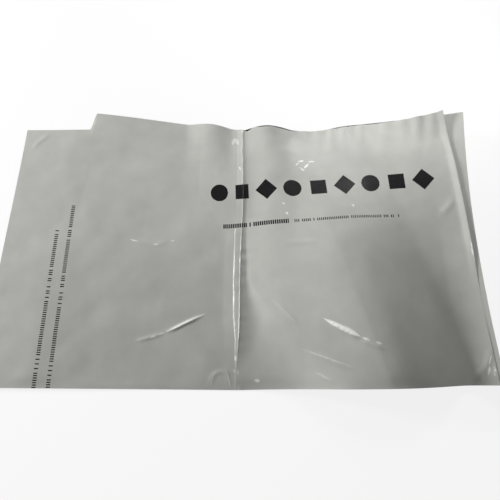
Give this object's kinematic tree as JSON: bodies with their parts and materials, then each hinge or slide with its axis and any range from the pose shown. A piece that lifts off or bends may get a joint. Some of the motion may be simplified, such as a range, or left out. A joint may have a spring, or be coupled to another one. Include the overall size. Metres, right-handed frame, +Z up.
{
  "type": "poly mailer bag",
  "caption": "Flat pouch of white plastic film with a long self-seal flap, lying unfolded with a fold across its middle; holds soft goods for posting.",
  "frame": {"origin": "on the table, under the middle of the bag's outer box", "axes": "+X along the bag from the flap to the sealed end, +Y to the bag's far side, +Z up from the table"},
  "size_m": [0.508, 0.3068, 0.0265],
  "materials": {
    "film": "glossy white polyethylene film, black on its inner side, creased and rippled from packing",
    "adhesive": "clear amber hot-melt adhesive, smooth and tacky",
    "liner": "siliconed release liner, smooth with a soft sheen"
  },
  "bodies": {
    "root": {"mailer_film": "film", "adhesive_strip": "adhesive", "release_liner": "liner"}
  },
  "joints": []
}
